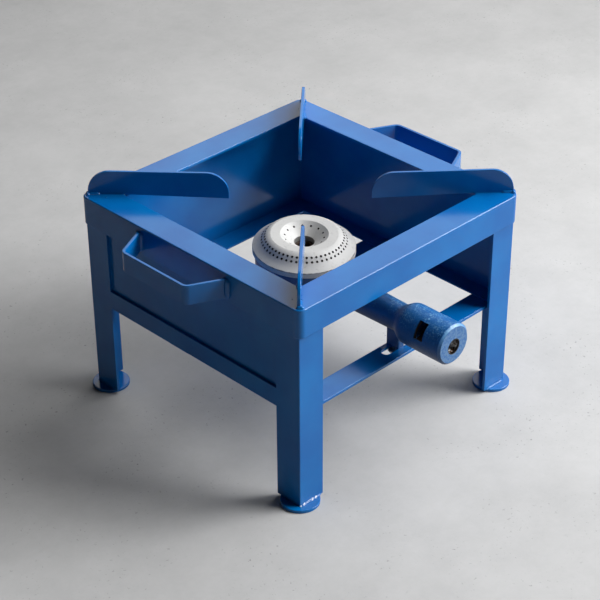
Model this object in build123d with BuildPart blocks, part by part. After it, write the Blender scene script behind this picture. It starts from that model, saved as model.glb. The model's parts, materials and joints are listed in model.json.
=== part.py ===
"""Single burner stove: a welded steel stand with a cast burner bolted to its front bar.

Millimetres, +Z up. The origin is on the floor, under the centre of the square top frame.
The open side with the gas inlet faces -Y, so left is -X and right is +X.
"""

import os
from math import cos, pi, radians, sin, sqrt, tan

from build123d import *

os.makedirs("parts", exist_ok=True)

# Top frame of steel angle
frame_side = 300.0
frame_height = 220.0
frame_flange_width = 30.0
frame_flange_drop = 30.0
frame_corner_radius = 8.0
frame_edge_radius = 1.2
frame_toe_radius = 0.8
steel_thickness = 3.0

# Legs of steel angle and their foot discs
leg_flange_width = 30.0
leg_corner_radius = 0.8
foot_diameter = 38.0
foot_thickness = 3.0
foot_edge_radius = 0.8
foot_inset = 9.0

# Sheet panels and the flat lower rails in front of them
panel_thickness = 1.5
side_lip_width = 19.5
rear_lip_width = 24.0
rail_ground_clearance = 103.0
rail_height = 20.0

# Rounding of the cut edges of flat bar
bar_edge_radius = 0.5

# Pan supports on the diagonals: each was cut to its own length, and welded on by eye
# a little twisted about its seat and shifted to one side of the diagonal
support_thickness = 3.0
support_height = 24.6
support_end_radius = 22.0
support_underside_slope = 2.2
support_top_slope = 0.7
support_setback_front_left = 7.6
support_setback_front_right = 5.8
support_setback_rear_right = 7.6
support_setback_rear_left = 7.6
support_reach_front_left = 86.0
support_reach_front_right = 69.0
support_reach_rear_right = 76.0
support_reach_rear_left = 68.0
support_twist_front_left = -1.8
support_twist_front_right = 2.0
support_twist_rear_right = -1.75
support_twist_rear_left = -1.2
support_shift_front_left = 0.6
support_shift_front_right = 4.0
support_shift_rear_right = -2.9
support_shift_rear_left = -2.5

# Carrying handles, each welded on by eye
handle_bar_height = 20.0
handle_bar_thickness = 3.0
handle_base_length = 120.0
handle_grip_length = 86.0
handle_standoff = 34.5
handle_bend_radius = 7.0
handle_top_gap = 5.2
handle_offset_left = 2.7
handle_offset_right = -2.0

# Burner bars, the front one's slot and the bolt
bar_width = 25.0
bar_leg_gap = 2.0
rear_bar_y = 20.5
slot_width = 10.0
slot_rear_web = 5.5
slot_end_clearance = 0.5
burner_travel = 17.0
bolt_diameter = 6.0
bolt_head_width = 10.0
bolt_head_height = 4.0
bolt_thread_length = 12.0
bolt_hole_clearance = 0.1
washer_diameter = 18.0
washer_thickness = 1.6

# Burner casting
burner_x = 4.0
burner_y = -1.5
lug_width = 9.0
lug_depth = 15.5
lug_height = 33.5
lug_edge_radius = 1.5
lug_fillet_radius = 2.0
bowl_foot_diameter = 16.0
tube_diameter = 28.2
tube_root_diameter = 33.0
tube_wall = 4.0
flare_offset = 2.5
flare_length = 18.0
head_diameter = 41.8
head_length = 49.5
head_wall = 5.0
head_bevel = 2.2
inlet_thread_minor_diameter = 14.95
inlet_thread_length = 16.5
inlet_drop = 2.0
window_length = 11.0
window_height = 18.0
window_tilt = 32.0
window_end_gap = 5.0
bowl_wall = 4.0
bowl_depth = 34.0
bowl_skirt_height = 9.5
bowl_base_diameter = 68.0
bowl_seat_above_axis = 20.7
bowl_lean = 2.9
bowl_lean_bearing = 20.0
chimney_wall = 3.0
chimney_engagement = 5.0

# Loose burner cap
cap_diameter = 102.2
cap_overhang = 2.8
cap_rim_height = 5.4
cap_height = 18.8
cap_ring_diameter = 66.8
cap_dish_diameter = 47.8
cap_dish_depth = 9.4
cap_bore_diameter = 20.4
cap_ring_edge_slope = 14.0
cap_rim_edge_slope = 29.0
cap_wall = 4.0
cap_edge_radius = 0.8
spigot_depth = 4.0
spigot_wall = 3.0
seat_clearance = 0.4
port_diameter = 2.4
ports_per_row = 52
port_tilt = 45.0
upper_row_diameter = 78.2
upper_row_drop = 3.1
lower_row_diameter = 84.2
lower_row_drop = 6.5
dish_port_diameter = 2.2
dish_ports = 14
dish_port_share = 0.33

# Places worked out from the sizes above
half_side = frame_side / 2
leg_face = half_side - steel_thickness
panel_face = leg_face - steel_thickness
flange_underside = frame_height - steel_thickness
leg_toe = leg_face - leg_flange_width
bar_top = rail_ground_clearance
bar_front = -(panel_face - bar_leg_gap)
bar_rear = bar_front + bar_width
slot_y = bar_rear - slot_rear_web - slot_width / 2
axis_height = bar_top + lug_height
seat_height = axis_height + bowl_seat_above_axis
tube_radius = tube_diameter / 2
head_radius = head_diameter / 2
flare_start = burner_y - slot_y + flare_offset
flare_end = flare_start + flare_length
head_end = flare_end + head_length
chamber_end = head_end - inlet_thread_length
cap_radius = cap_diameter / 2
bowl_radius = cap_radius - cap_overhang
bowl_inner_radius = bowl_radius - bowl_wall
cap_top = seat_height + cap_height
cap_bore_radius = cap_bore_diameter / 2
chimney_radius = cap_bore_radius - seat_clearance
chimney_top = cap_top - cap_dish_depth - chimney_engagement

corners = ("front_left", "front_right", "rear_right", "rear_left")
sides = ("front", "right", "rear", "left")
corner_turns = {corner: index * 360 / len(corners) for index, corner in enumerate(corners)}
side_turns = {side: index * 360 / len(sides) for index, side in enumerate(sides)}
side_signs = {"left": -1, "right": 1}


def turned(angle, height=0.0):
    """A horizontal plane at a height, turned about the stove's upright axis."""
    return Plane.XY.rotated((0, 0, angle)).offset(height)


def nearest_corner(sketch, across, up):
    """The corner of a sketch that lies nearest to a point of its plane."""
    return sketch.vertices().sort_by_distance((across, up, 0))[0]


def save(part, name):
    """Label a finished piece and write it under its own name."""
    part.label = name
    export_step(part, f"parts/{name}.step")


# Top frame: four mitred angle bars with ground outer corners
for side, turn in side_turns.items():
    with BuildPart() as frame_bar:
        with BuildSketch(turned(turn, frame_height - frame_flange_drop)):
            RectangleRounded(frame_side, frame_side, frame_corner_radius)
            Rectangle(2 * leg_face, 2 * leg_face, mode=Mode.SUBTRACT)
        extrude(amount=frame_flange_drop)
        with BuildSketch(turned(turn, flange_underside)):
            RectangleRounded(frame_side, frame_side, frame_corner_radius)
            inner_side = frame_side - 2 * frame_flange_width
            Rectangle(inner_side, inner_side, mode=Mode.SUBTRACT)
        extrude(amount=steel_thickness)
        top_face = frame_bar.faces().sort_by(Axis.Z)[-1]
        fillet(top_face.outer_wire().edges(), radius=frame_edge_radius)
        top_face = frame_bar.faces().sort_by(Axis.Z)[-1]
        fillet(top_face.inner_wires().edges(), radius=frame_toe_radius)
        bottom_face = frame_bar.faces().sort_by(Axis.Z)[0]
        fillet(bottom_face.outer_wire().edges(), radius=frame_toe_radius)
        for mitre in (45, 135):
            normal = Vector(1, 0, 0).rotate(Axis.Z, turn + mitre)
            split(bisect_by=Plane(origin=(0, 0, 0), z_dir=normal), keep=Keep.BOTTOM)
    save(frame_bar.part, f"frame_bar_{side}")

# Legs and feet
for corner, turn in corner_turns.items():
    with BuildPart() as leg:
        with BuildSketch(turned(turn, foot_thickness)):
            with BuildLine():
                Polyline(
                    (-leg_face, -leg_face),
                    (-leg_toe, -leg_face),
                    (-leg_toe, -panel_face),
                    (-panel_face, -panel_face),
                    (-panel_face, -leg_toe),
                    (-leg_face, -leg_toe),
                    close=True,
                )
            make_face()
        extrude(amount=flange_underside - foot_thickness)
        outer_corner = Vector(-leg_face, -leg_face, 0).rotate(Axis.Z, turn)
        upright_edges = leg.edges().filter_by(Axis.Z)
        fillet(upright_edges.sort_by_distance(outer_corner)[0], radius=leg_corner_radius)
    save(leg.part, f"leg_{corner}")

    with BuildPart() as foot:
        with BuildSketch(turned(turn)):
            with Locations((-leg_face + foot_inset, -leg_face + foot_inset)):
                Circle(foot_diameter / 2)
        extrude(amount=foot_thickness)
        fillet(foot.faces().sort_by(Axis.Z)[-1].edges(), radius=foot_edge_radius)
    save(foot.part, f"foot_{corner}")

# Pan supports: flat bars on edge, seated flat on the frame and sloping gently to the middle
support_setbacks = {
    "front_left": support_setback_front_left,
    "front_right": support_setback_front_right,
    "rear_right": support_setback_rear_right,
    "rear_left": support_setback_rear_left,
}
support_reaches = {
    "front_left": support_reach_front_left,
    "front_right": support_reach_front_right,
    "rear_right": support_reach_rear_right,
    "rear_left": support_reach_rear_left,
}
support_twists = {
    "front_left": support_twist_front_left,
    "front_right": support_twist_front_right,
    "rear_right": support_twist_rear_right,
    "rear_left": support_twist_rear_left,
}
support_shifts = {
    "front_left": support_shift_front_left,
    "front_right": support_shift_front_right,
    "rear_right": support_shift_rear_right,
    "rear_left": support_shift_rear_left,
}
widest_shift = max(abs(shift) for shift in support_shifts.values())
frame_corner = half_side * sqrt(2)
support_seat_end = (half_side - frame_flange_width) * sqrt(2) - widest_shift - support_thickness
support_pivot = (frame_corner - max(support_setbacks.values()) + support_seat_end) / 2
underside_fall = tan(radians(support_underside_slope))
top_fall = tan(radians(support_top_slope))
for corner, turn in corner_turns.items():
    reach = support_reaches[corner]
    outer = frame_corner - support_setbacks[corner]
    outward = Vector(-1, -1, 0).normalized().rotate(Axis.Z, turn)
    sideways = Vector(0, 0, 1).cross(outward)
    along = outward.rotate(Axis.Z, support_twists[corner])
    seat_middle = outward * support_pivot + sideways * support_shifts[corner]
    start = seat_middle - along * support_pivot
    across = along.cross(Vector(0, 0, 1))
    support_plane = Plane(origin=(start.X, start.Y, frame_height), x_dir=along, z_dir=across)
    with BuildPart() as support:
        with BuildSketch(support_plane) as support_outline:
            inner_base = (reach - support_seat_end) * underside_fall
            inner_top = support_height + (reach - support_seat_end) * top_fall
            outer_top = support_height + (outer - support_seat_end) * top_fall
            with BuildLine():
                Polyline(
                    (outer, 0),
                    (support_seat_end, 0),
                    (reach, inner_base),
                    (reach, inner_top),
                    (outer, outer_top),
                    close=True,
                )
            make_face()
            inner_corner = nearest_corner(support_outline, reach, inner_top)
            outer_corner = nearest_corner(support_outline, outer, outer_top)
            fillet([inner_corner, outer_corner], radius=support_end_radius)
        extrude(amount=support_thickness / 2, both=True)
        outline_edges = support.edges().filter_by(Axis(start, across), reverse=True)
        upper_edges = outline_edges.filter_by(lambda edge: edge.center().Z > frame_height + bar_edge_radius)
        fillet(upper_edges, radius=bar_edge_radius)
    save(support.part, f"pan_support_{corner}")

# Side and rear panels: sheets that stand inside the legs, each with an inward lip
panel_height = flange_underside - rail_ground_clearance
panel_back = panel_face - panel_thickness
side_lip_edge = panel_face - side_lip_width
rear_lip_edge = panel_face - rear_lip_width
for side, sign in side_signs.items():
    with BuildPart() as side_panel:
        with BuildSketch(Plane.XY.offset(rail_ground_clearance)):
            with Locations((sign * (panel_face + panel_back) / 2, (panel_back - panel_face) / 2)):
                Rectangle(panel_thickness, panel_face + panel_back)
        extrude(amount=panel_height)
        with BuildSketch(Plane.XY.offset(rail_ground_clearance)):
            with Locations((sign * (panel_face + side_lip_edge) / 2, (rear_lip_edge - panel_face) / 2)):
                Rectangle(side_lip_width, panel_face + rear_lip_edge)
        extrude(amount=panel_thickness)
    save(side_panel.part, f"side_panel_{side}")

with BuildPart() as rear_panel:
    with BuildSketch(Plane.XY.offset(rail_ground_clearance)):
        with Locations((0, (panel_face + panel_back) / 2)):
            Rectangle(2 * panel_face, panel_thickness)
    extrude(amount=panel_height)
    with BuildSketch(Plane.XY.offset(rail_ground_clearance)):
        with Locations((0, (panel_face + rear_lip_edge) / 2)):
            Rectangle(2 * panel_back, rear_lip_width)
    extrude(amount=panel_thickness)
save(rear_panel.part, "rear_panel")

# Lower rails: flat bars between the leg flanges, flush with their outer faces
for side in ("right", "rear", "left"):
    with BuildPart() as lower_rail:
        with BuildSketch(turned(side_turns[side], rail_ground_clearance)):
            with Locations((0, -(leg_face + panel_face) / 2)):
                Rectangle(2 * leg_toe, steel_thickness)
        extrude(amount=rail_height)
        outer_side = turned(side_turns[side]).y_dir * -1
        outer_face = lower_rail.faces().sort_by(Axis((0, 0, 0), outer_side))[-1]
        fillet(outer_face.edges().filter_by(Axis.Z, reverse=True), radius=bar_edge_radius)
    save(lower_rail.part, f"lower_rail_{side}")

# Carrying handles: flat bar bent to a trapezoid, its ends on the frame's side face
handle_offsets = {"left": handle_offset_left, "right": handle_offset_right}
for side, sign in side_signs.items():
    grip_x = half_side + handle_standoff
    spread = (handle_base_length - handle_grip_length) / 2
    root_share = handle_bar_thickness / handle_standoff
    root_x = half_side - handle_standoff * root_share
    root_half = handle_base_length / 2 + spread * root_share
    grip_half = handle_grip_length / 2
    offset = handle_offsets[side]
    handle_base = frame_height - handle_top_gap - handle_bar_height
    with BuildPart() as handle:
        with BuildSketch(Plane.XY.offset(handle_base)):
            with BuildLine(mode=Mode.PRIVATE) as handle_path:
                FilletPolyline(
                    (sign * root_x, offset + root_half),
                    (sign * grip_x, offset + grip_half),
                    (sign * grip_x, offset - grip_half),
                    (sign * root_x, offset - root_half),
                    radius=handle_bend_radius,
                )
            trace(handle_path.edges(), line_width=handle_bar_thickness)
        extrude(amount=handle_bar_height)
        split(bisect_by=Plane(origin=(sign * half_side, 0, 0), z_dir=(sign, 0, 0)), keep=Keep.TOP)
        rim_edges = handle.faces().filter_by(Axis.Z).edges()
        fillet(rim_edges.filter_by(Axis.Y, reverse=True), radius=bar_edge_radius)
    save(handle.part, f"handle_{side}")

# Burner bars: flat bars under the panel lips. The front one's slot lets the burner be centred
slot_length = 2 * (burner_travel + slot_end_clearance) + bolt_diameter
bar_places = {"front": (bar_front + bar_rear) / 2, "rear": rear_bar_y}
for end, bar_y in bar_places.items():
    with BuildPart() as burner_bar:
        with BuildSketch(Plane.XY.offset(bar_top - steel_thickness)):
            with Locations((0, bar_y)):
                Rectangle(2 * panel_face, bar_width)
            if end == "front":
                with Locations((burner_x, slot_y)):
                    SlotOverall(slot_length, slot_width, mode=Mode.SUBTRACT)
        extrude(amount=steel_thickness)
        bar_top_face = burner_bar.faces().sort_by(Axis.Z)[-1]
        fillet(bar_top_face.outer_wire().edges().filter_by(Axis.X), radius=bar_edge_radius)
    save(burner_bar.part, f"burner_bar_{end}")

# Burner bolt and washer under the bar
washer_base = bar_top - steel_thickness - washer_thickness
bolt_point = Plane(origin=(burner_x, slot_y, washer_base))
with BuildPart() as bolt_washer:
    with BuildSketch(bolt_point):
        Circle(washer_diameter / 2)
        Circle(bolt_diameter / 2 + bolt_hole_clearance, mode=Mode.SUBTRACT)
    extrude(amount=washer_thickness)
save(bolt_washer.part, "bolt_washer")

with BuildPart() as burner_bolt:
    with BuildSketch(bolt_point):
        RegularPolygon(bolt_head_width / 2, 6, major_radius=False)
    extrude(amount=-bolt_head_height)
    with BuildSketch(bolt_point):
        Circle(bolt_diameter / 2)
    extrude(amount=washer_thickness + steel_thickness + bolt_thread_length)
save(burner_bolt.part, "burner_bolt")

# The bowl and its cap lean a little to the front left. Heights along their axis are counted so that
# the seat between them keeps its own height
bowl_up = Vector(0, 0, 1).rotate(Axis.X, bowl_lean).rotate(Axis.Z, -bowl_lean_bearing)
bowl_origin = Vector(burner_x, burner_y, seat_height) - bowl_up * seat_height
bowl_plane = Plane(origin=bowl_origin, x_dir=(1, 0, 0), z_dir=bowl_up)
bowl_axis = Axis(bowl_origin, bowl_up)
bowl_section = Plane(origin=bowl_origin, x_dir=bowl_plane.x_dir, z_dir=bowl_plane.y_dir * -1)

# Burner casting: bowl, tube with flared mixer head, and the lug and foot that stand on the bars
tube_axis = Axis((burner_x, burner_y, axis_height), (0, -1, 0))
tube_section = Plane(origin=(burner_x, burner_y, axis_height), x_dir=(0, -1, 0), z_dir=(-1, 0, 0))
bowl_base = seat_height - bowl_depth
bowl_floor = bowl_base + bowl_wall
bowl_skirt = seat_height - bowl_skirt_height
bowl_base_radius = bowl_base_diameter / 2
chimney_bore_radius = chimney_radius - chimney_wall
tube_root_radius = tube_root_diameter / 2
tube_bore_radius = tube_radius - tube_wall
chamber_radius = head_radius - head_wall
with BuildPart() as burner_body:
    with BuildSketch(bowl_section):
        with BuildLine():
            Polyline((0, bowl_base), (bowl_base_radius, bowl_base))
            Spline(
                (bowl_base_radius, bowl_base),
                (bowl_radius, bowl_skirt),
                tangents=((1, 0), (0, 1)),
            )
            Polyline((bowl_radius, bowl_skirt), (bowl_radius, seat_height), (0, seat_height), (0, bowl_base))
        make_face()
    revolve(axis=bowl_axis)
    with BuildSketch(tube_section):
        with BuildLine():
            Polyline(
                (chimney_radius, 0),
                (chimney_radius, tube_root_radius),
                (flare_start, tube_radius),
            )
            Spline(
                (flare_start, tube_radius),
                (flare_end, head_radius),
                tangents=((1, 0), (1, 0)),
            )
            Polyline(
                (flare_end, head_radius),
                (head_end - head_bevel, head_radius),
                (head_end, head_radius - head_bevel),
                (head_end, 0),
                (chimney_radius, 0),
            )
        make_face()
    revolve(axis=tube_axis)
    with BuildSketch(Plane.XY.offset(bar_top)):
        with Locations((burner_x, bar_rear - lug_depth / 2)):
            RectangleRounded(lug_width, lug_depth, lug_edge_radius)
    extrude(amount=lug_height)
    fillet(burner_body.edges(Select.NEW), radius=lug_fillet_radius)
    with BuildSketch(Plane.XY.offset(bar_top)):
        with Locations((burner_x, rear_bar_y)):
            Circle(bowl_foot_diameter / 2)
    extrude(amount=bowl_floor - bar_top)

    # Ring-shaped gas chamber, open at the top, around the central air chimney
    with BuildSketch(bowl_section):
        with BuildLine():
            Polyline(
                (chimney_radius, bowl_floor),
                (bowl_base_radius - bowl_wall / 2, bowl_floor),
            )
            Spline(
                (bowl_base_radius - bowl_wall / 2, bowl_floor),
                (bowl_inner_radius, bowl_skirt + bowl_wall / 2),
                tangents=((1, 0), (0, 1)),
            )
            Polyline(
                (bowl_inner_radius, bowl_skirt + bowl_wall / 2),
                (bowl_inner_radius, seat_height),
                (chimney_radius, seat_height),
                (chimney_radius, bowl_floor),
            )
        make_face()
    revolve(axis=bowl_axis, mode=Mode.SUBTRACT)

    # Gas passage: tube bore and mixing chamber
    passage_start = chimney_radius + tube_wall
    with BuildSketch(tube_section):
        with BuildLine():
            Polyline((passage_start, 0), (passage_start, tube_bore_radius), (flare_start, tube_bore_radius))
            Spline(
                (flare_start, tube_bore_radius),
                (flare_end, chamber_radius),
                tangents=((1, 0), (1, 0)),
            )
            Polyline(
                (flare_end, chamber_radius),
                (chamber_end, chamber_radius),
                (chamber_end, 0),
                (passage_start, 0),
            )
        make_face()
    revolve(axis=tube_axis, mode=Mode.SUBTRACT)

    # Threaded inlet, drilled a little below the middle of the head
    inlet_centre = (burner_x, burner_y - head_end, axis_height - inlet_drop)
    with BuildSketch(Plane(origin=inlet_centre, z_dir=(0, 1, 0))):
        Circle(inlet_thread_minor_diameter / 2)
    extrude(amount=inlet_thread_length, mode=Mode.SUBTRACT)

    # Air windows in both upper flanks of the mixer head
    window_y = burner_y - (chamber_end - window_end_gap - window_length / 2)
    for sign in side_signs.values():
        window_out = Vector(sign * cos(radians(window_tilt)), 0, sin(radians(window_tilt)))
        window_plane = Plane(origin=(burner_x, window_y, axis_height), x_dir=(0, 1, 0), z_dir=window_out)
        with BuildSketch(window_plane):
            Rectangle(window_length, window_height)
        extrude(amount=head_diameter, mode=Mode.SUBTRACT)

    # Central air chimney, standing up into the cap's bore
    with BuildSketch(bowl_plane.offset(bowl_base)):
        Circle(chimney_radius)
    extrude(amount=chimney_top - bowl_base)
    with BuildSketch(bowl_plane.offset(bowl_base)):
        Circle(chimney_bore_radius)
    extrude(amount=chimney_top - bowl_base, mode=Mode.SUBTRACT)

    # Hole for the bolt in the lug
    with BuildSketch(Plane(origin=(burner_x, slot_y, bar_top))):
        Circle(bolt_diameter / 2 + bolt_hole_clearance)
    extrude(amount=bolt_thread_length + bolt_hole_clearance, mode=Mode.SUBTRACT)
save(burner_body.part, "burner_body")

# Burner cap: hollow casting that sits on the bowl's rim and round the chimney
ring_radius = cap_ring_diameter / 2
dish_radius = cap_dish_diameter / 2
rim_top = seat_height + cap_rim_height
dish_bottom = cap_top - cap_dish_depth
spigot_radius = bowl_inner_radius - seat_clearance
boss_radius = cap_bore_radius + cap_wall
ceiling = cap_top - cap_wall
upper_row = (upper_row_diameter / 2, cap_top - upper_row_drop)
lower_row = (lower_row_diameter / 2, cap_top - lower_row_drop)
dish_slope = Vector(cap_bore_radius - dish_radius, dish_bottom - cap_top)
dish_row = (dish_radius + dish_port_share * dish_slope.X, cap_top + dish_port_share * dish_slope.Y)
ring_edge_fall = tan(radians(cap_ring_edge_slope))
rim_edge_fall = tan(radians(cap_rim_edge_slope))
with BuildPart() as burner_cap:
    with BuildSketch(bowl_section) as cap_outline:
        with BuildLine():
            Spline(
                (ring_radius, cap_top),
                upper_row,
                lower_row,
                (cap_radius, rim_top),
                tangents=((1, -ring_edge_fall), (1, -rim_edge_fall)),
            )
            Polyline(
                (cap_radius, rim_top),
                (cap_radius, seat_height),
                (spigot_radius, seat_height),
                (spigot_radius, seat_height - spigot_depth),
                (spigot_radius - spigot_wall, seat_height - spigot_depth),
                (spigot_radius - spigot_wall, rim_top + cap_wall / 2),
                (ring_radius - cap_wall / 2, ceiling),
                (dish_radius + cap_wall / 2, ceiling),
                (boss_radius, dish_bottom - cap_wall),
                (boss_radius, dish_bottom - 2 * chimney_engagement),
                (cap_bore_radius, dish_bottom - 2 * chimney_engagement),
                (cap_bore_radius, dish_bottom),
                (dish_radius, cap_top),
                (ring_radius, cap_top),
            )
        make_face()
        fillet(nearest_corner(cap_outline, dish_radius, cap_top), radius=cap_edge_radius)
        fillet(nearest_corner(cap_outline, cap_radius, rim_top), radius=cap_edge_radius)
    revolve(axis=bowl_axis)
    flank_direction = (cos(radians(port_tilt)), sin(radians(port_tilt)))
    dish_direction = (dish_slope.Y, -dish_slope.X)
    port_rows = (
        (upper_row, flank_direction, ports_per_row, port_diameter),
        (lower_row, flank_direction, ports_per_row, port_diameter),
        (dish_row, dish_direction, dish_ports, dish_port_diameter),
    )
    for (radius, height), (out, up), count, diameter in port_rows:
        port_planes = []
        for index in range(count):
            angle = 2 * pi * index / count
            radial = bowl_plane.x_dir * cos(angle) + bowl_plane.y_dir * sin(angle)
            point = bowl_origin + radial * radius + bowl_up * height
            port_planes.append(Plane(origin=point, z_dir=radial * out + bowl_up * up))
        with Locations(*port_planes):
            Cylinder(diameter / 2, 4 * cap_wall, mode=Mode.SUBTRACT)
save(burner_cap.part, "burner_cap")
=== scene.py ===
"""Looks of a single burner stove: painted stand, cast burner, loose cap, welds and the stage.

Metres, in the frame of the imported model: +Z up, the floor at zero, the open front at -Y.
"""

import json
import random
from math import pi, radians, sin

import bpy
from bpy.props import FloatProperty, FloatVectorProperty, IntProperty, PointerProperty
from mathutils import Matrix, Vector


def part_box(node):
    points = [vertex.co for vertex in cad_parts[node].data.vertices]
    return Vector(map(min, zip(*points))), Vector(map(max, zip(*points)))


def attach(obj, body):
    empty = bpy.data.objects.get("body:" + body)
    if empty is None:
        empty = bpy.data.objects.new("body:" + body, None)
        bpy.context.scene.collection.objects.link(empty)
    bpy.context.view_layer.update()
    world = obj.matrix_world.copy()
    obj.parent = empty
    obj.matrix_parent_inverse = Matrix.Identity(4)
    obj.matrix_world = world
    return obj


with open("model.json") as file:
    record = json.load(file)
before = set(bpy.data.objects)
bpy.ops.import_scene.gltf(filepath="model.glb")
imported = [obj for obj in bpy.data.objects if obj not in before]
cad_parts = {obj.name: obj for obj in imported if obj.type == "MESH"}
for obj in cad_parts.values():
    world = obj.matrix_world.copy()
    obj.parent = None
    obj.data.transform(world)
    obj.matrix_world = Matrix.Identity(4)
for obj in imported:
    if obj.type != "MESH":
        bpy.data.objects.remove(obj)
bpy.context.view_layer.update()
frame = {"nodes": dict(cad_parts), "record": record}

bl_info = {
    "name": "Single burner stove",
    "version": (1, 0, 0),
    "blender": (4, 5, 0),
    "location": "View3D > Sidebar > Stove",
    "description": "Paints the stove's pieces, adds its welds and inlet thread, and sets the stage",
    "category": "Object",
}

MM = 0.001
WHITE = (1.0, 1.0, 1.0)
CORNERS = {"front_left": (-1, -1), "front_right": (1, -1), "rear_left": (-1, 1), "rear_right": (1, 1)}

# Inputs of a Mix node on colours, by number, because its inputs for numbers have the same names
MIX_SHARE = 0
MIX_UNDER = 6
MIX_OVER = 7


def linear(hex_colour):
    """Linear red, green and blue of an sRGB hex colour."""
    channels = [int(hex_colour[start:start + 2], 16) / 255 for start in (1, 3, 5)]
    return tuple(c / 12.92 if c <= 0.04045 else ((c + 0.055) / 1.055) ** 2.4 for c in channels)


def colour_property(name, description, hex_colour):
    """A colour that a user can change, with an sRGB hex default."""
    return FloatVectorProperty(
        name=name,
        description=description,
        subtype="COLOR",
        size=3,
        min=0.0,
        max=1.0,
        default=linear(hex_colour),
    )


def length_property(name, description, millimetres):
    """A length that a user can change, with its default in millimetres."""
    return FloatProperty(name=name, description=description, unit="LENGTH", default=millimetres * MM)


def power_property(name, description, watts):
    """A lamp's power that a user can change."""
    return FloatProperty(name=name, description=description, unit="POWER", default=watts)


class StoveFinishes(bpy.types.PropertyGroup):
    """Colours of the stove's finishes."""

    enamel: colour_property("Enamel", "Blue enamel of the stand", "#0363A7")
    enamel_deep: colour_property("Deep enamel", "Blue enamel where the coat lies thicker", "#01589D")
    casting: colour_property("Casting enamel", "Blue enamel on the rough casting", "#075492")
    # The scuffs' colour is also the painted highlight on the upper side of the head's bevel
    scuff_and_highlight: colour_property("Scuffs", "Worn, chalky enamel on the casting's high spots", "#6FA3C8")
    # The pits' colour is also laid as painted shade on the casting's downward flanks
    pits: colour_property("Pits", "Dark enamel in the casting's low spots", "#032A4C")
    bare_iron: colour_property("Bare iron", "Machined end face of the casting", "#4C719A")
    rust: colour_property("Rust", "Brown inside of the casting", "#33241B")
    aluminium: colour_property("Aluminium", "Cast aluminium of the cap", "#B9B9B8")
    # The burnt colour is also the painted shade in the cap's ports and around the inlet's mouth
    soot_and_shade: colour_property("Soot", "Burnt dirt around the cap's rim and in its ports", "#17130F")
    zinc: colour_property("Zinc", "Zinc plate of the bolt and washer", "#B9BBBD")
    # The chips' colour is also the painted glints on the front left foot's weld
    chips_and_glints: colour_property("Chips", "Pale flecks where the paint has chipped off a weld", "#D5DADF")


class StoveWelds(bpy.types.PropertyGroup):
    """Sizes of the welds that join the stand, and of the inlet's thread."""

    tack_length: length_property("Tack length", "Length of a short tack", 12.0)
    bead_width: length_property("Bead width", "Width of a tack across its joint", 4.2)
    handle_bead_width: length_property("Handle bead width", "Width of the beads on the handles", 6.5)
    foot_bead_width: length_property("Foot bead width", "Width of the beads at the feet", 3.2)
    ripple_pitch: length_property("Ripple pitch", "Distance between the ripples of a bead", 1.8)
    unevenness: length_property("Unevenness", "How far the hand-made beads depart from true", 0.7)
    droplet_radius: length_property("Droplet radius", "Radius of a droplet of spatter", 0.6)
    droplets: IntProperty(name="Droplets", description="Droplets of spatter at each corner", default=3)
    seed: IntProperty(name="Seed", description="Number that scatters the spatter", default=7)
    # The real thread has a pitch of 1.34 mm, and it is drawn coarser so that it shows
    thread_pitch: length_property("Thread pitch", "Distance between the inlet's threads", 2.2)
    thread_depth: length_property("Thread depth", "Height of the inlet's threads", 1.0)


class StoveStage(bpy.types.PropertyGroup):
    """Floor, light and camera."""

    floor: colour_property("Floor", "Pale floor under the stove", "#B4B4B4")
    specks: colour_property("Specks", "Small dark pits in the floor", "#7C7C7C")
    backdrop: colour_property("Backdrop", "Pale surroundings beyond the floor", "#DEDFE0")
    fill: FloatProperty(name="Fill", description="Strength of the light from all around", default=0.02)
    key_power: power_property("Key", "Power of the lamp in front, on the right", 41.0)
    sky_power: power_property("Sky", "Power of the wide lamp above, on the right", 23.0)
    rear_power: power_property("Rear", "Power of the lamp behind, on the right", 8.3)
    focal_length: FloatProperty(name="Lens", description="Focal length for a 36 mm sensor", default=107.9)


class StoveSettings(bpy.types.PropertyGroup):
    """All that can be set on the stove."""

    finishes: PointerProperty(type=StoveFinishes)
    welds: PointerProperty(type=StoveWelds)
    stage: PointerProperty(type=StoveStage)


def settings():
    """The stove's settings in this scene."""
    return bpy.context.scene.stove


def mount(name):
    """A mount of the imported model, by name."""
    return next(entry for entry in frame["record"]["mounts"] if entry["name"] == name)


def joint_axis(name):
    """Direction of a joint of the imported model, by name."""
    joints = frame["record"]["behaviour"]["joints"]
    return Vector(next(joint["axis"] for joint in joints if joint["name"] == name)).normalized()


def cap_middle():
    """Middle of the burner cap's box, on the leaning axis that the cap and the bowl share."""
    low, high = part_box("burner_cap")
    return (low + high) / 2


def add_node(tree, kind, inputs=None, **fields):
    """Add a shader node with its fields set, and set or link each of the given inputs.

    An input gets a value, a socket to link, or a node, whose first working output is then linked.
    """
    node = tree.nodes.new(kind)
    for field, value in fields.items():
        setattr(node, field, value)
    for key, value in (inputs or {}).items():
        socket = node.inputs[key]
        if isinstance(value, bpy.types.Node):
            value = next(output for output in value.outputs if output.enabled)
        if isinstance(value, bpy.types.NodeSocket):
            tree.links.new(value, socket)
        elif socket.type == "RGBA":
            socket.default_value = (*value, 1.0)
        else:
            socket.default_value = value
    return node


def blotches(tree, place, size, low, high, most=1.0, detail=3.0, roughness=0.5):
    """Share of a layer in blotches of a real size: nought at the noise's low level, most at the high."""
    noise = add_node(tree, "ShaderNodeTexNoise", {
        "Vector": place, "Scale": 1 / size, "Detail": detail, "Roughness": roughness,
    })
    return add_node(tree, "ShaderNodeMapRange", {
        "Value": noise, "From Min": low, "From Max": high, "To Max": most,
    })


def within(tree, value, limit, most=1.0):
    """Share of a layer that ends at a limit: most up to it, and nought from just past it."""
    fade = 0.02 * limit
    return add_node(tree, "ShaderNodeMapRange", {
        "Value": value, "From Min": limit, "From Max": limit + fade, "To Min": most, "To Max": 0.0,
    })


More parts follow.
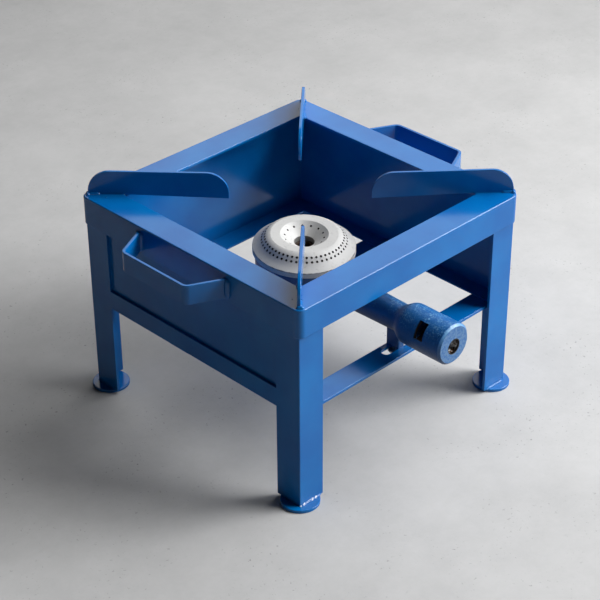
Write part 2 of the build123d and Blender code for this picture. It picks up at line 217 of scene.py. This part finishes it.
def around_axis(tree, place, centre, axis):
    """Height of a place along an axis from a centre, its way out from the axis, and its radius."""
    offset = add_node(tree, "ShaderNodeVectorMath", {0: place, 1: centre}, operation="SUBTRACT")
    height = add_node(tree, "ShaderNodeVectorMath", {0: offset, 1: axis}, operation="DOT_PRODUCT")
    along = add_node(tree, "ShaderNodeVectorMath", {0: axis, "Scale": height}, operation="SCALE")
    outward = add_node(tree, "ShaderNodeVectorMath", {0: offset, 1: along}, operation="SUBTRACT")
    radius = add_node(tree, "ShaderNodeVectorMath", {0: outward}, operation="LENGTH")
    return height, outward, radius


def coats(tree, colour, *layers):
    """A colour under layers, each a share and a colour of its own, laid in order."""
    for share, coat in layers:
        colour = add_node(tree, "ShaderNodeMix", {
            MIX_SHARE: share, MIX_UNDER: colour, MIX_OVER: coat,
        }, data_type="RGBA")
    return colour


def new_material(name):
    """An empty node material, its tree and its Object coordinates."""
    material = bpy.data.materials.new(name)
    material.use_nodes = True
    tree = material.node_tree
    tree.nodes.clear()
    place = add_node(tree, "ShaderNodeTexCoord").outputs["Object"]
    return material, tree, place


def set_surface(tree, inputs):
    """End a material's tree with a Principled shader that has these inputs."""
    shader = add_node(tree, "ShaderNodeBsdfPrincipled", inputs)
    add_node(tree, "ShaderNodeOutputMaterial", {"Surface": shader})


def satin_enamel():
    """Sprayed satin enamel on steel: deep blue, a soft gloss and a faint orange peel."""
    finishes = settings().finishes
    coat_size = 45.0 * MM
    peel_size = 2.2 * MM
    peel_depth = 0.15 * MM
    material, tree, place = new_material("satin_enamel_on_steel")
    coat = add_node(tree, "ShaderNodeTexNoise", {"Vector": place, "Scale": 1 / coat_size, "Detail": 3.0})
    thick = add_node(tree, "ShaderNodeMapRange", {"Value": coat, "From Min": 0.35, "From Max": 0.65})
    gloss = add_node(tree, "ShaderNodeMapRange", {
        "Value": coat, "From Min": 0.3, "From Max": 0.7, "To Min": 0.14, "To Max": 0.21,
    })
    peel = add_node(tree, "ShaderNodeTexNoise", {"Vector": place, "Scale": 1 / peel_size, "Detail": 2.0})
    set_surface(tree, {
        "Base Color": coats(tree, finishes.enamel, (thick, finishes.enamel_deep)),
        "Roughness": gloss,
        "IOR": 1.4,
        "Normal": add_node(tree, "ShaderNodeBump", {
            "Height": peel, "Strength": 0.12, "Distance": peel_depth,
        }),
    })
    return material


def chipped_and_glinting_enamel():
    """Enamel on the front left foot's weld, with pale flecks that are chipped paint and painted glints on
    its ripples, over deep enamel that stands as painted shade.
    """
    finishes = settings().finishes
    flecked_share = 0.72
    chip_size = 2.2 * MM
    fade = 1.0 * MM
    material, tree, place = new_material("chipped_enamel_on_weld")
    low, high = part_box("leg_front_left")
    flecked_to = low.lerp(high, flecked_share).x
    across = add_node(tree, "ShaderNodeSeparateXYZ", {"Vector": place}).outputs["X"]
    flecked_part = add_node(tree, "ShaderNodeMapRange", {
        "Value": across, "From Min": flecked_to - fade, "From Max": flecked_to + fade,
        "To Min": 1.0, "To Max": 0.0,
    })
    # Painted highlight: pale flecks on the near part of the weld for the glints on its ripples, also
    # standing as chipped paint
    chips_and_glints = blotches(tree, place, chip_size, 0.5, 0.53, most=flecked_part, detail=5.0, roughness=0.65)
    set_surface(tree, {
        "Base Color": coats(tree, finishes.enamel_deep, (chips_and_glints, finishes.chips_and_glints)),
        "Roughness": 0.35,
    })
    return material


def casting_wear_and_shade(tree, place, upward):
    """Layers of wear and painted shade on the casting: dark pits all over, painted shade on its downward
    flanks, scuffs on its top.
    """
    finishes = settings().finishes
    pit_size = 5.0 * MM
    scuff_size = 12.0 * MM
    scratch_size = 1.8 * MM
    pits = blotches(tree, place, pit_size, 0.55, 0.7, most=0.45, detail=5.0, roughness=0.7)
    # Painted shade: the pits' dark enamel laid over faces that turn down, most where they face the floor
    underside_shade = add_node(tree, "ShaderNodeMapRange", {
        "Value": upward, "From Min": -0.4, "From Max": 0.45, "To Min": 0.75, "To Max": 0.0,
    })
    scuffs = blotches(tree, place, scuff_size, 0.38, 0.56, most=0.8)
    scratches = blotches(tree, place, scratch_size, 0.5, 0.62, most=scuffs, detail=6.0, roughness=0.75)
    on_top = add_node(tree, "ShaderNodeMapRange", {
        "Value": upward, "From Min": 0.2, "From Max": 0.8, "To Max": scratches,
    })
    return (pits, finishes.pits), (underside_shade, finishes.pits), (on_top, finishes.scuff_and_highlight)


def casting_end(tree, place, upward):
    """Layers at the mixer head's end: a bevel worn and painted lighter on its upper side as a highlight,
    bare speckled metal, a painted shade around the inlet's mouth and rust inside.
    """
    finishes = settings().finishes
    # The inlet lies this far under the head's own axis
    inlet_drop = 2.0 * MM
    face_depth = 0.23 * MM
    bevel_depth = 2.3 * MM
    chamber_depth = 47.0 * MM
    chamber_radius = 19.2 * MM
    pore_size = 2.6 * MM
    mouth_share = 1.08
    inlet = mount("gas_inlet")
    bore_end = Vector(inlet["pos_m"])
    head_end = bore_end + Vector((0, 0, inlet_drop))
    inward = Vector(inlet["axis"]) * -1
    depth, _, radius = around_axis(tree, place, head_end, inward)
    _, _, from_bore = around_axis(tree, place, bore_end, inward)

    bevel = add_node(tree, "ShaderNodeMapRange", {
        "Value": depth, "From Min": bevel_depth / 2, "From Max": bevel_depth,
        "To Min": 0.8, "To Max": 0.0,
    })
    # Painted highlight: the bevel is lighter only on its upper side, where the light glints on its
    # rounded edge, as well as worn
    worn_and_highlit_bevel = add_node(tree, "ShaderNodeMapRange", {
        "Value": upward, "From Min": 0.2, "From Max": 0.8, "To Max": bevel,
    })
    pores = blotches(tree, place, pore_size, 0.46, 0.58, most=0.85, detail=4.0)
    iron = coats(tree, finishes.bare_iron, (pores, finishes.casting))
    end_face = within(tree, depth, face_depth)
    in_head = within(tree, depth, chamber_depth)
    # Painted shade: a dark ring a little wider than the inlet, for the shade in its countersunk mouth
    painted_mouth_shade = within(tree, from_bore, mouth_share * inlet["dims"]["r_mm"] * MM, most=in_head)
    chamber = within(tree, radius, chamber_radius, most=in_head)
    behind_face = add_node(tree, "ShaderNodeMapRange", {
        "Value": depth, "From Min": bevel_depth, "From Max": 2 * bevel_depth, "To Max": chamber,
    })
    return (
        (worn_and_highlit_bevel, finishes.scuff_and_highlight),
        (end_face, iron),
        (painted_mouth_shade, finishes.soot_and_shade),
        (behind_face, finishes.rust),
    )


def casting_bowl(tree, place, normal):
    """Layers in the bowl: soot on the faces that look up or to its middle, and rust in the chimney."""
    finishes = settings().finishes
    inner_radius = 47.0 * MM
    chimney_radius = 10.5 * MM
    axis = joint_axis("cap_lift")
    _, outward, radius = around_axis(tree, place, cap_middle(), axis)
    way_out = add_node(tree, "ShaderNodeVectorMath", {0: outward}, operation="NORMALIZE")
    up_and_in = add_node(tree, "ShaderNodeVectorMath", {0: axis, 1: way_out}, operation="SUBTRACT")
    facing = add_node(tree, "ShaderNodeVectorMath", {0: normal, 1: up_and_in}, operation="DOT_PRODUCT")
    inner_face = add_node(tree, "ShaderNodeMapRange", {"Value": facing, "From Min": 0.2, "From Max": 0.4})
    bowl = within(tree, radius, inner_radius, most=inner_face)
    chimney = within(tree, radius, chimney_radius)
    return (bowl, finishes.soot_and_shade), (chimney, finishes.rust)


def casting_enamel():
    """Enamel over a sand casting: scuffed on top, painted shade on its downward flanks, bare and speckled
    at its end, brown inside.
    """
    skin_size = 2.0 * MM
    skin_depth = 0.6 * MM
    material, tree, place = new_material("enamel_on_sand_casting")
    normal = add_node(tree, "ShaderNodeNewGeometry").outputs["Normal"]
    upward = add_node(tree, "ShaderNodeSeparateXYZ", {"Vector": normal}).outputs["Z"]
    layers = (
        *casting_wear_and_shade(tree, place, upward),
        *casting_end(tree, place, upward),
        *casting_bowl(tree, place, normal),
    )
    skin = add_node(tree, "ShaderNodeTexNoise", {"Vector": place, "Scale": 1 / skin_size, "Detail": 5.0})
    set_surface(tree, {
        "Base Color": coats(tree, settings().finishes.casting, *layers),
        "Roughness": 0.42,
        "Normal": add_node(tree, "ShaderNodeBump", {
            "Height": skin, "Strength": 0.5, "Distance": skin_depth,
        }),
    })
    return material


def sooted_shaded_ports(tree, outward, radius):
    """Share of burnt dirt and painted shade in the cap's ports and inside, on walls that turn away from
    the face they pierce.
    """
    dish_edge = 30.0 * MM
    flank_edge = 31.5 * MM
    # The dish looks inwards and up, and the flank outwards and up
    dish_lean = -0.6
    flank_lean = 1.0
    axis = joint_axis("cap_lift")
    lean = add_node(tree, "ShaderNodeMapRange", {
        "Value": radius, "From Min": dish_edge, "From Max": flank_edge,
        "To Min": dish_lean, "To Max": flank_lean,
    })
    way_out = add_node(tree, "ShaderNodeVectorMath", {0: outward}, operation="NORMALIZE")
    sideways = add_node(tree, "ShaderNodeVectorMath", {0: way_out, "Scale": lean}, operation="SCALE")
    leaning = add_node(tree, "ShaderNodeVectorMath", {0: sideways, 1: axis}, operation="ADD")
    face_way = add_node(tree, "ShaderNodeVectorMath", {0: leaning}, operation="NORMALIZE")
    normal = add_node(tree, "ShaderNodeNewGeometry").outputs["True Normal"]
    facing = add_node(tree, "ShaderNodeVectorMath", {0: normal, 1: face_way}, operation="DOT_PRODUCT")
    # Painted shade, with burnt dirt: walls turned away from the pierced face, in the ports and under the
    # cap, take the dark burnt colour
    return add_node(tree, "ShaderNodeMapRange", {
        "Value": facing, "From Min": 0.45, "From Max": 0.6, "To Min": 1.0, "To Max": 0.0,
    })


def burnt_rim(tree, place, height, radius):
    """Share of burnt dirt in a broken line along the edge of the cap's rim."""
    rim_radius = 49.0 * MM
    edge_radius = 49.49 * MM
    rim_height = -2.0 * MM
    half_width = 0.7 * MM
    dirt_size = 7.0 * MM
    above = add_node(tree, "ShaderNodeMapRange", {
        "Value": height, "From Min": rim_height - half_width, "From Max": rim_height,
    })
    line = add_node(tree, "ShaderNodeMapRange", {
        "Value": height, "From Min": rim_height, "From Max": rim_height + half_width,
        "To Min": above, "To Max": 0.0,
    })
    outermost = add_node(tree, "ShaderNodeMapRange", {
        "Value": radius, "From Min": rim_radius, "From Max": edge_radius, "To Max": line,
    })
    return blotches(tree, place, dirt_size, 0.4, 0.6, most=outermost, detail=4.0)


def cast_aluminium():
    """Cast aluminium gone dull and pale with heat, burnt and darkened with painted shade in its ports,
    and burnt on its rim.
    """
    finishes = settings().finishes
    speck_size = 3.0 * MM
    speck_depth = 0.25 * MM
    material, tree, place = new_material("cast_aluminium")
    height, outward, radius = around_axis(tree, place, cap_middle(), joint_axis("cap_lift"))
    specks = add_node(tree, "ShaderNodeTexNoise", {
        "Vector": place, "Scale": 1 / speck_size, "Detail": 6.0, "Roughness": 0.7,
    })
    stains = add_node(tree, "ShaderNodeMapRange", {
        "Value": specks, "From Min": 0.56, "From Max": 0.8, "To Max": 0.5,
    })
    grey = coats(
        tree,
        finishes.aluminium,
        (stains, finishes.soot_and_shade),
        (sooted_shaded_ports(tree, outward, radius), finishes.soot_and_shade),
        (burnt_rim(tree, place, height, radius), finishes.soot_and_shade),
    )
    set_surface(tree, {
        "Base Color": grey,
        "Metallic": 0.08,
        "Roughness": 0.55,
        "Normal": add_node(tree, "ShaderNodeBump", {
            "Height": specks, "Strength": 0.25, "Distance": speck_depth,
        }),
    })
    return material


def zinc_plate():
    """Zinc plated steel: bright grey with a fine mottle."""
    mottle_size = 1.5 * MM
    material, tree, place = new_material("zinc_plated_steel")
    mottle = add_node(tree, "ShaderNodeTexNoise", {
        "Vector": place, "Scale": 1 / mottle_size, "Detail": 3.0,
    })
    gloss = add_node(tree, "ShaderNodeMapRange", {
        "Value": mottle, "From Min": 0.3, "From Max": 0.7, "To Min": 0.25, "To Max": 0.45,
    })
    set_surface(tree, {"Base Color": settings().finishes.zinc, "Metallic": 1.0, "Roughness": gloss})
    return material


def oiled_iron():
    """Cut iron of the inlet's thread: bright under a patchy brown film of old oil."""
    finishes = settings().finishes
    film_size = 4.0 * MM
    material, tree, place = new_material("oiled_iron")
    bare = blotches(tree, place, film_size, 0.4, 0.6)
    set_surface(tree, {
        "Base Color": coats(tree, finishes.rust, (bare, finishes.zinc)),
        "Metallic": 1.0,
        "Roughness": 0.35,
    })
    return material


def paint_nodes(names, material):
    """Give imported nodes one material."""
    for name in names:
        node = frame["nodes"][name]
        node.data.materials.clear()
        node.data.materials.append(material)


class STOVE_OT_paint_stand(bpy.types.Operator):
    """Paint the stand's pieces with satin enamel"""

    bl_idname = "stove.paint_stand"
    bl_label = "Paint the stand"

    def execute(self, context):
        stand = frame["record"]["behaviour"]["bodies"]["stand"]
        paint_nodes(stand, satin_enamel())
        return {"FINISHED"}


class STOVE_OT_finish_burner(bpy.types.Operator):
    """Finish the casting, the cap, the bolt and its washer"""

    bl_idname = "stove.finish_burner"
    bl_label = "Finish the burner"

    def execute(self, context):
        paint_nodes(["burner_body"], casting_enamel())
        paint_nodes(["burner_cap"], cast_aluminium())
        paint_nodes(["burner_bolt", "bolt_washer"], zinc_plate())
        return {"FINISHED"}


class STOVE_OT_lay_welds(bpy.types.Operator):
    """Lay the beads, tacks and spatter where the stand was welded"""

    bl_idname = "stove.lay_welds"
    bl_label = "Lay the welds"

    bead_sides = 10
    smooth_angle = radians(50)
    clearance = 0.2 * MM
    # Widths of a bead's ends and ripples, as shares of the bead's own width
    end_share = 0.45
    ripple_share = 1.12
    # Lengths of the tack across a support's end and of a foot's bead, as shares of a tack and of a leg
    end_tack_share = 0.6
    foot_run_share = 0.9
    # Height of a droplet over its width, and the bands of the frame and of a foot that droplets lie in
    droplet_flatness = 0.6
    spatter_reach = 34.0 * MM
    spatter_band = (0.25, 0.85)
    foot_band = (0.5, 0.95)

    def execute(self, context):
        enamel = frame["nodes"]["frame_bar_front"].data.materials[0]
        welds = settings().welds
        tack = self.model_bead(welds.tack_length, welds.bead_width)
        self.join_copies("support_welds", tack, self.support_tacks(), enamel)
        end = self.model_bead(self.end_tack_share * welds.tack_length, welds.bead_width)
        self.join_copies("support_end_welds", end, self.support_ends(), enamel)
        low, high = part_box("handle_left")
        run = self.model_bead(high.z - low.z, welds.handle_bead_width)
        self.join_copies("handle_welds", run, self.handle_runs(), enamel)
        low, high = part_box("leg_front_left")
        bead = self.model_bead(self.foot_run_share * (high.x - low.x), welds.foot_bead_width)
        near, *others = self.foot_runs()
        self.join_copies("foot_weld_front_left", self.copy_model(bead), [near], chipped_and_glinting_enamel())
        self.join_copies("foot_welds", bead, others, enamel)
        self.join_copies("weld_spatter", self.model_droplet(), self.spatter_places(), enamel)
        return {"FINISHED"}

    def model_bead(self, length, width):
        """A rippled bead that stands on the origin along Z, thinner at both ends."""
        ripples = max(2, round(length / settings().welds.ripple_pitch))
        steps = 2 * ripples
        rise = length / steps
        bpy.ops.object.select_all(action="DESELECT")
        bpy.ops.mesh.primitive_circle_add(
            vertices=self.bead_sides, radius=self.end_share * width / 2, fill_type="NGON",
        )
        bpy.ops.object.mode_set(mode="EDIT")
        bpy.ops.mesh.select_all(action="SELECT")
        before = self.end_share
        for step in range(1, steps + 1):
            bpy.ops.mesh.extrude_region_move(TRANSFORM_OT_translate={"value": (0, 0, rise)})
            share = self.end_share + (1 - self.end_share) * min(1.0, 2 * sin(pi * step / steps))
            share *= self.ripple_share if step % 2 else 1.0
            bpy.ops.transform.resize(
                value=(share / before, share / before, 1.0), center_override=(0, 0, step * rise),
            )
            before = share
        bpy.ops.mesh.select_all(action="SELECT")
        bpy.ops.mesh.fill_holes(sides=0)
        bpy.ops.mesh.normals_make_consistent(inside=False)
        bpy.ops.object.mode_set(mode="OBJECT")
        return bpy.context.object

    def model_droplet(self):
        """A flattened droplet of spatter at the origin."""
        bpy.ops.object.select_all(action="DESELECT")
        bpy.ops.mesh.primitive_ico_sphere_add(subdivisions=2, radius=settings().welds.droplet_radius)
        bpy.ops.object.mode_set(mode="EDIT")
        bpy.ops.mesh.select_all(action="SELECT")
        bpy.ops.transform.resize(value=(1.0, 1.0, self.droplet_flatness), center_override=(0, 0, 0))
        bpy.ops.object.mode_set(mode="OBJECT")
        return bpy.context.object

    def support_seat(self, corner):
        """Both ends of a pan support's seat, its directions along and across, and half its width."""
        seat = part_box("frame_bar_front")[1].z
        node = frame["nodes"][f"pan_support_{corner}"]
        on_seat = [v.co.copy() for v in node.data.vertices if abs(v.co.z - seat) < self.clearance]
        on_seat.sort(key=lambda co: co.xy.length)
        inner = (on_seat[0] + on_seat[1]) / 2
        outer = (on_seat[-1] + on_seat[-2]) / 2
        along = (outer - inner).normalized()
        across = along.cross(Vector((0, 0, 1)))
        return inner, outer, along, across, (on_seat[0] - on_seat[1]).length / 2 + self.clearance

    def support_tacks(self):
        """Places of the tacks on both sides of each pan support, and at its inner corner."""
        length = settings().welds.tack_length
        places = []
        for corner in CORNERS:
            inner, outer, along, across, half = self.support_seat(corner)
            for side in (-1, 1):
                places.append((outer - along * length + across * side * half, along))
            places.append((inner + across * half, along))
        return places

    def support_ends(self):
        """Places of the tacks across each pan support's outer end."""
        half_length = self.end_tack_share * settings().welds.tack_length / 2
        places = []
        for corner in CORNERS:
            _, outer, _, across, _ = self.support_seat(corner)
            places.append((outer - across * half_length, across))
        return places

    def handle_runs(self):
        """Places of the upright beads on both sides of each handle's ends."""
        side_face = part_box("frame_bar_right")[1].x
        places = []
        for name in ("handle_left", "handle_right"):
            node = frame["nodes"][name]
            low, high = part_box(name)
            middle = (low.y + high.y) / 2
            ends = [v.co for v in node.data.vertices if abs(v.co.x) < side_face + self.clearance]
            for near in (True, False):
                depths = [co.y for co in ends if (co.y < middle) == near]
                for y in (min(depths), max(depths)):
                    places.append((Vector((ends[0].x, y, low.z)), Vector((0, 0, 1))))
        return places

    def foot_runs(self):
        """Places of the beads between each leg's front or rear face and its foot."""
        places = []
        for corner, (x_sign, y_sign) in CORNERS.items():
            low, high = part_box(f"leg_{corner}")
            tip = Vector((high.x if x_sign > 0 else low.x, high.y if y_sign > 0 else low.y, low.z))
            places.append((tip, Vector((-x_sign, 0, 0))))
        return places

    def spatter_places(self):
        """Scattered places on the frame's top beside each pan support, and on each foot."""
        spots = random.Random(settings().welds.seed)
        frame_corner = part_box("frame_bar_front")[1]
        places = []
        for corner, (x_sign, y_sign) in CORNERS.items():
            foot_low, foot_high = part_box(f"foot_{corner}")
            foot = (foot_low + foot_high) / 2
            for _ in range(settings().welds.droplets):
                # The frame is square, so half its width serves both ways
                x = frame_corner.x - spots.uniform(*self.spatter_band) * self.spatter_reach
                y = frame_corner.x - spots.uniform(*self.spatter_band) * self.spatter_reach
                places.append((Vector((x_sign * x, y_sign * y, frame_corner.z)), Vector((0, 0, 1))))
                turn = Matrix.Rotation(spots.uniform(0, 2 * pi), 3, "Z")
                reach = spots.uniform(*self.foot_band) * (foot_high.x - foot_low.x) / 2
                spot = foot + turn @ Vector((reach, 0, 0))
                places.append((Vector((spot.x, spot.y, foot_high.z)), Vector((0, 0, 1))))
        return places

    def copy_model(self, model):
        """A copy of a model with its own mesh."""
        piece = model.copy()
        piece.data = model.data.copy()
        bpy.context.collection.objects.link(piece)
        return piece

    def join_copies(self, name, model, places, material):
        """Copy a model to each place and direction, join the copies, and make them uneven."""
        copies = []
        for start, direction in places:
            piece = self.copy_model(model)
            turn = direction.to_track_quat("Z", "Y").to_matrix().to_4x4()
            piece.data.transform(Matrix.Translation(start) @ turn)
            copies.append(piece)
        bpy.data.objects.remove(model)
        bpy.ops.object.select_all(action="DESELECT")
        for piece in copies:
            piece.select_set(True)
        bpy.context.view_layer.objects.active = copies[0]
        if len(copies) > 1:
            bpy.ops.object.join()
        group = bpy.context.object
        group.name = name
        uneven = group.modifiers.new("uneven", "DISPLACE")
        uneven.texture = bpy.data.textures.new(name, "CLOUDS")
        uneven.texture.noise_scale = settings().welds.bead_width
        uneven.texture_coords = "LOCAL"
        uneven.strength = settings().welds.unevenness
        bpy.ops.object.modifier_apply(modifier=uneven.name)
        bpy.ops.object.shade_smooth_by_angle(angle=self.smooth_angle)
        group.data.materials.clear()
        group.data.materials.append(material)
        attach(group, "stand")


class STOVE_OT_cut_thread(bpy.types.Operator):
    """Show the thread in the gas inlet"""

    bl_idname = "stove.cut_thread"
    bl_label = "Cut the inlet's thread"

    steps = 48
    smooth_angle = radians(40)

    def execute(self, context):
        welds = settings().welds
        inlet = mount("gas_inlet")
        radius = inlet["dims"]["r_mm"] * MM
        turns = int(inlet["dims"]["length_mm"] * MM / welds.thread_pitch) - 1
        bpy.ops.object.select_all(action="DESELECT")
        bpy.ops.mesh.primitive_circle_add(vertices=3, radius=welds.thread_depth, fill_type="NOTHING")
        thread = context.object
        thread.name = "inlet_thread"
        bpy.ops.object.mode_set(mode="EDIT")
        bpy.ops.mesh.select_all(action="SELECT")
        bpy.ops.transform.rotate(value=pi / 2, orient_axis="X", center_override=(0, 0, 0))
        bpy.ops.transform.translate(value=(radius, 0, 0))
        bpy.ops.object.mode_set(mode="OBJECT")
        helix = thread.modifiers.new("helix", "SCREW")
        helix.screw_offset = welds.thread_pitch
        helix.iterations = turns
        helix.steps = self.steps
        helix.render_steps = self.steps
        bpy.ops.object.modifier_apply(modifier=helix.name)
        inward = Vector(inlet["axis"]) * -1
        turn = inward.to_track_quat("Z", "Y").to_matrix().to_4x4()
        start = Vector(inlet["pos_m"]) + inward * welds.thread_pitch
        thread.data.transform(Matrix.Translation(start) @ turn)
        bpy.ops.object.mode_set(mode="EDIT")
        bpy.ops.mesh.select_all(action="SELECT")
        bpy.ops.mesh.normals_make_consistent(inside=False)
        bpy.ops.object.mode_set(mode="OBJECT")
        bpy.ops.object.shade_smooth_by_angle(angle=self.smooth_angle)
        thread.data.materials.append(oiled_iron())
        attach(thread, "burner")
        return {"FINISHED"}


class STOVE_OT_set_stage(bpy.types.Operator):
    """Set the floor, the surroundings, the lamps and the camera"""

    bl_idname = "stove.set_stage"
    bl_label = "Set the stage"

    floor_side = 12.0
    floor_drop = 0.2 * MM
    cloud_size = 160.0 * MM
    cloud_tone = 0.86
    pitted_size = 90.0 * MM
    pit_size = 4.0 * MM
    look_at = Vector((0.0, 0.0, 0.12))
    backdrop_top = radians(12)
    backdrop_fade = radians(22)
    lamps = (
        # Name, direction from the stove, distance, side, and spread of the beam
        ("key", Vector((0.60, -0.60, 0.47)), 2.3, 1.3, radians(130)),
        ("sky", Vector((0.594, -0.226, 0.772)), 2.3, 2.2, radians(100)),
        ("rear", Vector((0.60, 0.60, 0.53)), 2.6, 1.5, radians(160)),
    )
    camera_place = Vector((-1.06813, -1.08289, 1.05817))
    camera_turn = radians(-44.591)
    camera_tilt = radians(32.222)
    camera_roll = radians(-0.345)

    def execute(self, context):
        self.lay_floor()
        self.light_surroundings()
        for lamp in self.lamps:
            self.hang_lamp(*lamp)
        self.place_camera()
        context.scene.view_settings.view_transform = "Standard"
        return {"FINISHED"}

    def lay_floor(self):
        """A wide, pale concrete floor, dull, with faint clouds and small pits in places."""
        stage = settings().stage
        bpy.ops.object.select_all(action="DESELECT")
        bpy.ops.mesh.primitive_plane_add(size=self.floor_side, location=(0, 0, -self.floor_drop))
        floor = bpy.context.object
        floor.name = "floor"
        material, tree, place = new_material("pale_floor")
        cloudy = tuple(self.cloud_tone * channel for channel in stage.floor)
        clouds = blotches(tree, place, self.cloud_size, 0.35, 0.65, detail=8.0, roughness=0.78)
        pitted = blotches(tree, place, self.pitted_size, 0.45, 0.62, most=0.8)
        pits = blotches(tree, place, self.pit_size, 0.64, 0.68, most=pitted, roughness=0.6)
        set_surface(tree, {
            "Base Color": coats(tree, stage.floor, (clouds, cloudy), (pits, stage.specks)),
            "Roughness": 0.7,
            "Specular IOR Level": 0.15,
        })
        floor.data.materials.append(material)

    def light_surroundings(self):
        """A low pale backdrop for the camera and for gloss, and a faint even light for all else."""
        stage = settings().stage
        world = bpy.data.worlds.new("studio")
        bpy.context.scene.world = world
        world.use_nodes = True
        tree = world.node_tree
        tree.nodes.clear()
        even = add_node(tree, "ShaderNodeBackground", {"Color": WHITE, "Strength": stage.fill})
        backdrop = add_node(tree, "ShaderNodeBackground", {"Color": stage.backdrop})
        path = add_node(tree, "ShaderNodeLightPath").outputs
        seen = path["Is Camera Ray"]
        for ray in ("Is Glossy Ray", "Is Transmission Ray"):
            seen = add_node(tree, "ShaderNodeMath", {0: seen, 1: path[ray]}, operation="MAXIMUM")
        way = add_node(tree, "ShaderNodeTexCoord").outputs["Generated"]
        up = add_node(tree, "ShaderNodeSeparateXYZ", {"Vector": way}).outputs["Z"]
        low = add_node(tree, "ShaderNodeMapRange", {
            "Value": up, "From Min": sin(self.backdrop_top), "From Max": sin(self.backdrop_fade),
            "To Min": seen, "To Max": 0.0,
        })
        both = add_node(tree, "ShaderNodeMixShader", {0: low, 1: even, 2: backdrop})
        add_node(tree, "ShaderNodeOutputWorld", {"Surface": both})

    def hang_lamp(self, name, direction, distance, side, spread):
        """A square lamp that shines on the stove from a direction."""
        lamp = bpy.data.lights.new(f"{name}_lamp", "AREA")
        lamp.energy = getattr(settings().stage, f"{name}_power")
        lamp.size = side
        lamp.spread = spread
        holder = bpy.data.objects.new(f"{name}_lamp", lamp)
        bpy.context.collection.objects.link(holder)
        holder.location = self.look_at + direction.normalized() * distance
        holder.rotation_euler = direction.to_track_quat("Z", "Y").to_euler()

    def place_camera(self):
        """The camera where the photograph was taken from."""
        lens = bpy.data.cameras.new("camera")
        lens.lens = settings().stage.focal_length
        camera = bpy.data.objects.new("camera", lens)
        bpy.context.collection.objects.link(camera)
        turn = Matrix.Rotation(self.camera_turn, 4, "Z")
        tilt = Matrix.Rotation(pi / 2 - self.camera_tilt, 4, "X")
        roll = Matrix.Rotation(self.camera_roll, 4, "Z")
        camera.matrix_world = Matrix.Translation(self.camera_place) @ turn @ tilt @ roll
        bpy.context.scene.camera = camera


class STOVE_PT_sidebar(bpy.types.Panel):
    """Settings and steps of the stove"""

    bl_idname = "STOVE_PT_sidebar"
    bl_label = "Stove"
    bl_space_type = "VIEW_3D"
    bl_region_type = "UI"
    bl_category = "Stove"

    def draw(self, context):
        layout = self.layout
        for group in (settings().finishes, settings().welds, settings().stage):
            box = layout.box()
            for name in group.__annotations__:
                box.prop(group, name)
        for step in STEPS:
            layout.operator(step.bl_idname)


STEPS = (
    STOVE_OT_paint_stand,
    STOVE_OT_finish_burner,
    STOVE_OT_lay_welds,
    STOVE_OT_cut_thread,
    STOVE_OT_set_stage,
)
CLASSES = (StoveFinishes, StoveWelds, StoveStage, StoveSettings, *STEPS, STOVE_PT_sidebar)


def register():
    """Register the classes and hang the settings on the scene."""
    for cls in CLASSES:
        bpy.utils.register_class(cls)
    bpy.types.Scene.stove = PointerProperty(type=StoveSettings)


def unregister():
    """Take the settings and the classes away again."""
    del bpy.types.Scene.stove
    for cls in reversed(CLASSES):
        bpy.utils.unregister_class(cls)


def main():
    """Register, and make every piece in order."""
    register()
    bpy.ops.stove.paint_stand()
    bpy.ops.stove.finish_burner()
    bpy.ops.stove.lay_welds()
    bpy.ops.stove.cut_thread()
    bpy.ops.stove.set_stage()


if __name__ == "__main__":
    main()
